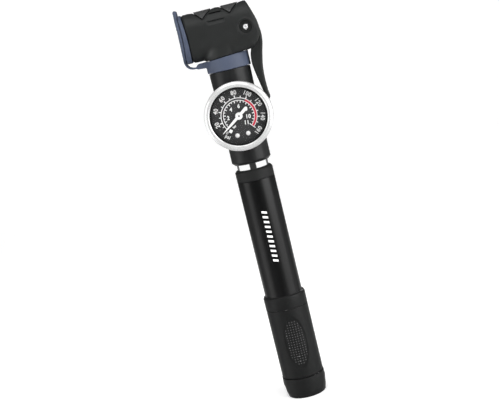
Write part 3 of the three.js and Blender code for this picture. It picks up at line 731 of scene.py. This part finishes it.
def head_field(x, y, z):
    rho = np.hypot(y, z - MZ)
    xr = x - arch(y) - rim_shift(z)
    # mouth cylinder carried right through to the cheeks, cut by the side outline
    tube = box2(deep(y, z) - 14.0, np.maximum(-21.2 - xr, x - 23.2), 1.7)
    side = sd_poly(x, z, PROFILE)
    low = sd_poly(x, z, [(1.5, 226), (4.5, 212.9), (12.4, 212.9), (16.0, 213.6), (18.1, 214.6), (20.6, 217.3), (22.3, 220.3), (22.8, 223.0), (22.6, 226.4), (22.2, 228.9), (19, 230), (5, 230)])
    block = box2(low, np.abs(y) - 12.4, 3.4)
    d = smin(tube, block, 1.8)
    neck = np.hypot(x, y) - 12.6
    neck = np.maximum(neck, np.maximum(212.85 + 0.065 * x - z, z - 226))
    d = smin(d, neck, 1.3)
    d = smax(d, side, 1.3)
    d = smax(d, np.abs(y) - 13.3, 1.6)
    d = np.maximum(d, 212.85 + 0.065 * np.clip(x, -13, 9) - z)
    # neck under the ring
    d = np.minimum(d, sd_cyl(np.hypot(x, y), z, 10.6, 205.0, 216.0, 0.2))
    # grip pads: two wedges that taper down both flanks, each set off by a fine groove with a soft bevel beside it
    for xc in (-7.9, 8.3):
        w = 5.9 * (z - 236.45) / 5.6
        ln = (np.abs(x - xc) - w) / math.hypot(1.0, 5.9 / 5.6)
        band = np.abs(ln)
        near = 1 - np.clip((236.1 - z) / 0.4, 0, 1)
        groove = np.clip(1.6 - 1.6 * band / 0.36, 0, 1) * 0.80
        bevel = np.where(ln > 0, np.clip(1 - ln / 1.7, 0, 1), 0) * 0.40
        d = d + (groove + bevel) * near * (z > 235.7)
        inside = np.clip(-ln / 0.35, 0, 1) * near
        tex = np.sin(x * 7.4) * np.sin(np.arctan2(y, z - MZ) * 14 * 7.4)
        d = d - inside * (0.10 + 0.035 * tex)
    # fine slot and the soft ledge below it, on both flanks
    slot = np.maximum(np.abs(z - 238.6) / 0.30, np.abs(x + 0.1) / 3.6)
    d = d + np.clip(4.0 * (1.1 - slot), 0, 1) * 0.95 * (np.abs(y) > 4)
    fade = np.clip(1 - (np.abs(x + 0.3) - 4.2) / 1.6, 0, 1)
    under = 234.45 - z
    d = d + np.clip(under / 0.12, 0, 1) * np.clip(1.0 - under / 2.6, 0, 1) * 0.95 * fade * (np.abs(y) > 4)
    # recess and raised ring round the pin
    q = np.hypot(x - 15.6, z - PIN_Z)
    ridge = np.exp(-((q - 4.75) / 0.55) ** 2) * 0.22
    d = d - ridge * (np.abs(y) > 9)
    pocket = np.maximum(q - 3.85, 11.55 - np.abs(y))
    d = smax(d, -pocket, 0.35)
    # lever slot between the cheeks
    slot = sd_poly(x, z, [(6.8, 236.5), (30, 236.5), (30, 205), (13.3, 205), (13.3, 218.8), (6.8, 220.6)])
    d = smax(d, -np.maximum(slot, np.abs(y) - 6.6), 0.5)
    # mouth bore and neck bore
    d = smax(d, -np.maximum(rho - 10.6, x + 16.9), 0.3)
    d = np.maximum(d, -np.maximum(rho - 8.4, np.abs(x + 9) - 10))
    d = np.maximum(d, -np.maximum(rho - 4.3, np.abs(x - 4) - 4.6))
    d = np.maximum(d, -np.maximum(np.hypot(x, y) - 8.2, np.abs(z - 210) - 7.8))
    d = np.maximum(d, -(q - 1.75))
    return d


h_head = 0.26
shell = surface("head_shell_mesh", head_field, (-22.4, -14.8, 204.2), (24.2, 14.8, 243.4), h_head, angle=42)
dress(shell, "head", "head_unit", "head_shell")


def mark_patches(obj):
    """the rougher grip pads are a shade lighter in tone, and a painted highlight lightens the crease beside the neck"""
    n = len(obj.data.vertices)
    co = np.empty(n * 3, np.float32)
    obj.data.vertices.foreach_get("co", co)
    v = co.reshape(-1, 3).astype(float) / MM
    x, y, z = v[:, 0], v[:, 1], v[:, 2]
    val = np.zeros(n)
    for xc in (-7.9, 8.3):
        ln = (np.abs(x - xc) - 5.9 * (z - 236.45) / 5.6) / math.hypot(1.0, 5.9 / 5.6)
        val = np.maximum(val, np.clip(-ln / 0.3, 0, 1) * (z > 236.2))
    # painted highlight on the crease where the neck meets the head
    val = np.maximum(val, 0.85 * np.exp(-((x + 8.2 - 0.45 * (z - 216)) / 1.6) ** 2) * np.exp(-((z - 216.3) / 2.6) ** 2))
    a = obj.data.attributes.new("pad_tone_and_highlight", "FLOAT", "POINT")
    a.data.foreach_set("value", val.astype(np.float32))


mark_patches(shell)
dress(lathe("mouth_nut_mesh", rounded([(5.5, -20.2, 0.3), (10.4, -20.2, 0.3), (10.4, -17.0), (4.6, -17.0), (4.6, -17.9, 0.2), (5.5, -18.6, 0.2)]), "x", (0, 0, MZ), seg=96), "head", "head_unit", "mouth_nut")
dress(lathe("valve_grommet_mesh", rounded([(4.1, -16.5, 0.4), (8.2, -16.5, 0.2), (8.2, -6.6, 0.2), (4.1, -6.6, 0.3)]), "x", (0, 0, MZ), seg=72), "rubber", "head_unit", "valve_grommet")
dress(lathe("lever_pin_mesh", rounded([(0, -11.7), (0.6, -11.7), (0.62, -12.3, 0.05), (1.2, -12.35, 0.2), (1.4, -12.1, 0.1), (1.4, 12.1, 0.1), (1.2, 12.35, 0.2), (0.62, 12.3, 0.05), (0.6, 11.7), (0, 11.7)]), "y", (15.6, 0, PIN_Z), seg=56), "pin", "head_unit", "lever_pin")

# ------------------------------------------------------------------ lock lever
CAM = []
for i in range(19):
    deg = 70 + 150 * i / 18
    lift = min(1, max(0, (180 - deg) / 90))
    rr_ = 6.1 + 2.2 * lift * 0.98
    CAM.append((15.6 + rr_ * math.cos(math.radians(deg)), 227.0 + rr_ * math.sin(math.radians(deg))))
INNER = [(12.6, 221.6), (14.6, 218.0), (15.45, 214.2), (14.45, 210.3), (14.0, 205.5), (14.5, 200.5), (15.55, 194.3), (16.8, 187.5), (17.6, 183.6)]
OUTER = [(19.95, 183.9), (19.4, 188.0), (19.2, 193.0), (19.3, 198.0), (19.9, 203.6), (21.3, 210.3), (22.7, 216.0), (23.15, 220.5), (22.8, 225.0), (21.4, 229.8), (19.2, 233.2)]
LEVER = CAM + spline(INNER, 5) + [(17.95, 182.9), (18.5, 182.55), (19.2, 182.6), (19.75, 183.1)] + spline(OUTER, 5)


def lever_field(x, y, z):
    d2 = sd_poly(x, z, LEVER)
    half = 6.0 - 0.6 * np.clip((212 - z) / 29, 0, 1) ** 2
    d = box2(d2, np.abs(y) - half, 0.9)
    # pin hole at the pivot and three shallow ribs on the outside near the tip
    q = np.hypot(x - 15.6, z - 227.0)
    d = np.maximum(d, -(q - 2.1))
    for zc in (187.5, 190.3, 193.1):
        d = d + 0.28 * np.clip(1 - np.abs(z - zc) / 0.55, 0, 1) * (x > 17.6) * np.clip((5.0 - np.abs(y)) / 0.6, 0, 1)
    return d


dress(surface("lock_lever_mesh", lever_field, (6.6, -6.8, 181.6), (24.0, 6.8, 236.4), 0.24, angle=45), "head", "lever", "lock_lever")

# ------------------------------------------------------------------ dust cap, strap and ring: one rubber moulding that bends at the strap on the real pump; here the strap is a separate fixed mesh
STRAP = spline([(-24.5, 216.5), (-24.55, 214.2), (-24.05, 212.4), (-22.7, 210.9), (-20.9, 210.15), (-19.2, 210.0), (-17.2, 210.1)], 6)


def lid_field(x, y, z):
    rho = deep(y, z)
    xr = x - arch(y) - rim_shift(z)
    xl = x - arch(y) - 0.2 - 0.7 * np.clip((z - MZ + 14) / 28, 0, 1.3)
    band = box2(rho - 13.85, np.maximum(xr + 21.45, -23.55 - xl), 0.35)
    waist = sd_cyl(rho, xl, 12.3, -24.5, -23.0, 0.05)
    flange = sd_cyl(rho, xl, 13.75, -25.45, -24.0, 0.5)
    tab = box2(sd_poly(xl, z, [(-25.45, 234), (-24.0, 234), (-23.95, 241.5), (-23.75, 244.2), (-24.2, 245.2), (-25.4, 245.2), (-25.85, 244.2), (-25.7, 241.5)]), np.abs(y) - 5.0 + 0.35 * np.clip(z - 241.5, 0, 9), 0.4)
    plug = sd_cyl(np.hypot(y, z - MZ), x, 5.0, -23, -19.4, 0.5)
    lid = smin(smin(flange, tab, 0.8), waist, 0.15)
    lid = smin(lid, band, 0.12)
    return np.minimum(lid, plug)


def strap_field(x, y, z):
    return box2(polyline(x, z, STRAP) - 0.50, np.abs(y) - 4.0, 0.3)


def ring_field(x, y, z):
    r = np.hypot(x, y)
    ring = np.maximum(sd_cyl(r, z - 0.065 * x * np.clip((z - 206) / 6, 0, 1), 13.15, 204.85, 212.6, 0.35), -(r - 10.75))
    root = box2(sd_poly(x, z, [(-18.9, 209.5), (-17.6, 208.95), (-11.6, 208.5), (-11.6, 212.2), (-16.9, 212.1), (-17.7, 211.6), (-18.6, 210.6)]), np.abs(y) - 4.6, 0.3)
    root = np.maximum(root, -(r - 10.75))
    return smin(ring, root, 0.7)


h_cap = 0.27
dress(surface("dust_cap_lid", lid_field, (-26.2, -14.8, 212.0), (-17.8, 14.8, 246.0), h_cap, angle=45), "blue", "dust_cap", "dust_cap")
dress(surface("cap_ring_moulding", ring_field, (-19.8, -14.0, 204.2), (14.0, 14.0, 214.6), h_cap, angle=45), "blue", "head_unit", "cap_ring")
strap = surface("dust_cap_strap", strap_field, (-25.8, -4.8, 209.0), (-16.2, 4.8, 217.6), 0.20, angle=45)
strap.data.materials.append(M["blue"])
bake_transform(strap)

# ------------------------------------------------------------------ plain mark on the barrel: a row of slanted dashes that stands for printing
mv, mf = [], []


def barrel_patch(x0, z0, x1, z1, slant, r=11.512):
    s = len(mv)
    n = 6
    for i in range(n + 1):
        for (xx, zz) in ((x0 + (x1 - x0) * i / n, z0 + slant * i / n), (x0 + (x1 - x0) * i / n, z1 + slant * i / n)):
            for rad in (r, r - 0.03):
                a = math.asin(xx / 11.5)
                mv.append((rad * math.sin(a), -rad * math.cos(a), zz))
    for i in range(n):
        q, w = s + 4 * i, s + 4 * i + 4
        mf.extend([(q, q + 2, w + 2, w), (q + 1, w + 1, w + 3, q + 3), (q, w, w + 1, q + 1), (q + 2, q + 3, w + 3, w + 2)])
    e = s + 4 * n
    mf.extend([(s, s + 1, s + 3, s + 2), (e, e + 2, e + 3, e + 1)])


z = 119.0
for i in range(11):
    barrel_patch(-0.8, z - 1.3, 2.3, z, -0.9)
    z -= 3.0
dress(new_object("barrel_mark", mv, mf, 30), "white", "barrel_unit")

# ------------------------------------------------------------------ carried-over CAD nodes
CARRY = {
    "gland_wiper": "rubber", "barrel_end_plug": "inner", "end_plug_oring": "rubber", "housing_oring": "rubber", "tube_oring": "rubber", "piston_head": "inner", "piston_seal": "rubber", "stop_bumper": "rubber",
    "check_valve_seat": "brass", "check_valve_poppet": "rubber", "gauge_socket": "brass", "socket_oring": "rubber", "bourdon_tube": "brass", "movement_frame": "brass", "hairspring": "steel",
    "plunger": "inner", "plunger_oring": "rubber", "sector_gear": "brass", "pinion": "brass", "link_rod": "steel",
}
for n_, m_ in CARRY.items():
    o = NODES[n_]
    if not o.material_slots:
        o.data.materials.append(M[m_])
    for s in o.material_slots:
        s.material = M[m_]

# the valve spring is pressed together between the poppet and its upper end
src = NODES["check_valve_spring"]
wire_mesh = src.data.copy()
wire_mesh.transform(src.matrix_world)
wire_mesh.materials.clear()
wire_mesh.materials.append(M["steel"])
wire = bpy.data.objects.new("check_valve_spring_wire", wire_mesh)
scene.collection.objects.link(wire)
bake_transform(wire)
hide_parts("check_valve_spring")

# ------------------------------------------------------------------ stage: a pale bowl, soft lights
def bowl():
    prof = [(0.0, 0.0), (0.6, 0.0), (1.1, 0.0)]
    for i in range(1, 15):
        a = math.pi / 2 * i / 14
        prof.append((1.1 + 0.9 * math.sin(a), 0.9 * (1 - math.cos(a))))
    prof.append((2.0, 2.6))
    seg = 96
    verts, faces = [(0, 0, 0)], []
    for r, h in prof[1:]:
        verts += [(r * math.cos(2 * math.pi * j / seg), r * math.sin(2 * math.pi * j / seg), h) for j in range(seg)]
    for j in range(seg):
        faces.append((0, 1 + j, 1 + (j + 1) % seg))
    for i in range(len(prof) - 2):
        a, b = 1 + i * seg, 1 + (i + 1) * seg
        for j in range(seg):
            k = (j + 1) % seg
            faces.append((a + j, b + j, b + k, a + k))
    mesh = bpy.data.meshes.new("stage_bowl")
    mesh.from_pydata(verts, [], faces)
    mesh.polygons.foreach_set("use_smooth", [True] * len(mesh.polygons))
    mesh.update()
    o = bpy.data.objects.new("stage_bowl", mesh)
    scene.collection.objects.link(o)
    m = bpy.data.materials.new("stage_paper")
    m.use_nodes = True
    b = m.node_tree.nodes["Principled BSDF"]
    b.inputs["Base Color"].default_value = (0.93, 0.93, 0.93, 1)
    b.inputs["Roughness"].default_value = 0.9
    b.inputs["Specular IOR Level"].default_value = 0.1
    b.inputs["Emission Color"].default_value = (1, 1, 1, 1)
    b.inputs["Emission Strength"].default_value = 0.26
    o.data.materials.append(m)
    o.visible_glossy = False
    return o


bowl()


def area(name, loc, target, size, power, size_y=None, color=(1, 1, 1)):
    d = bpy.data.lights.new(name, "AREA")
    d.shape = "RECTANGLE"
    d.size = size
    d.size_y = size_y or size
    d.energy = power
    d.color = color
    o = bpy.data.objects.new(name, d)
    scene.collection.objects.link(o)
    o.location = loc
    dirv = Vector(target) - Vector(loc)
    o.rotation_euler = dirv.to_track_quat("-Z", "Y").to_euler()
    return o


def around(az, r, z):
    a = math.radians(az)
    return (r * math.sin(a), -r * math.cos(a), z)


MID = (0, 0, 0.13)
area("key_right", around(60, 0.85, 0.30), MID, 0.78, 7.3, 0.80)
area("fill_left", around(-64, 0.85, 0.28), MID, 0.52, 2.6, 0.80)
area("top", (0.0, -0.35, 1.05), MID, 0.8, 4.2, 0.8)


def glow_card(name, az0, az1, r, z0, z1, strength):
    """a curved pale card that only shows in the bright tube's reflection"""
    n = 24
    verts, faces = [], []
    for i in range(n + 1):
        a = az0 + (az1 - az0) * i / n
        verts += [around(a, r, z0), around(a, r, z1)]
    for i in range(n):
        faces.append((2 * i, 2 * i + 1, 2 * i + 3, 2 * i + 2))
    mesh = bpy.data.meshes.new(name)
    mesh.from_pydata(verts, [], faces)
    o = bpy.data.objects.new(name, mesh)
    scene.collection.objects.link(o)
    m = bpy.data.materials.new(name)
    m.use_nodes = True
    m.node_tree.nodes.clear()
    em = m.node_tree.nodes.new("ShaderNodeEmission")
    em.inputs["Strength"].default_value = strength
    m.cycles.emission_sampling = "NONE"
    outn = m.node_tree.nodes.new("ShaderNodeOutputMaterial")
    m.node_tree.links.new(em.outputs[0], outn.inputs[0])
    mesh.materials.append(m)
    o.visible_camera = False
    o.visible_diffuse = False
    o.visible_shadow = False
    o.visible_transmission = False


CAM_AZ = math.degrees(math.atan2(camera.location.x, -camera.location.y))
glow_card("glow_right", CAM_AZ + 24, CAM_AZ + 120, 0.5, 0.072, 0.106, 1.1)
glow_card("glow_left", CAM_AZ - 120, CAM_AZ - 24, 0.5, 0.072, 0.106, 1.1)
glow_card("dark_middle", CAM_AZ - 23.5, CAM_AZ + 23.5, 0.5, 0.066, 0.112, 0.04)
glow_card("low_right", 36, 84, 0.84, -0.20, -0.10, 3.0)
glow_card("low_left", -81, -47, 0.84, -0.20, -0.10, 2.8)
# far below the floor line: what the bright tube shows when it is seen from higher up
for i_, a_ in enumerate(range(-180, 180, 60)):
    glow_card(f"far_low_{i_}", CAM_AZ + a_ + 9, CAM_AZ + a_ + 51, 3.0, -2.3, -0.85 if abs(a_ + 30) < 60 else -0.50, 0.9)

world = bpy.data.worlds.new("studio")
world.use_nodes = True
world.node_tree.nodes["Background"].inputs[0].default_value = (1, 1, 1, 1)
world.node_tree.nodes["Background"].inputs[1].default_value = 0.16
scene.world = world
scene.view_settings.view_transform = "Standard"
scene.view_settings.look = "None"
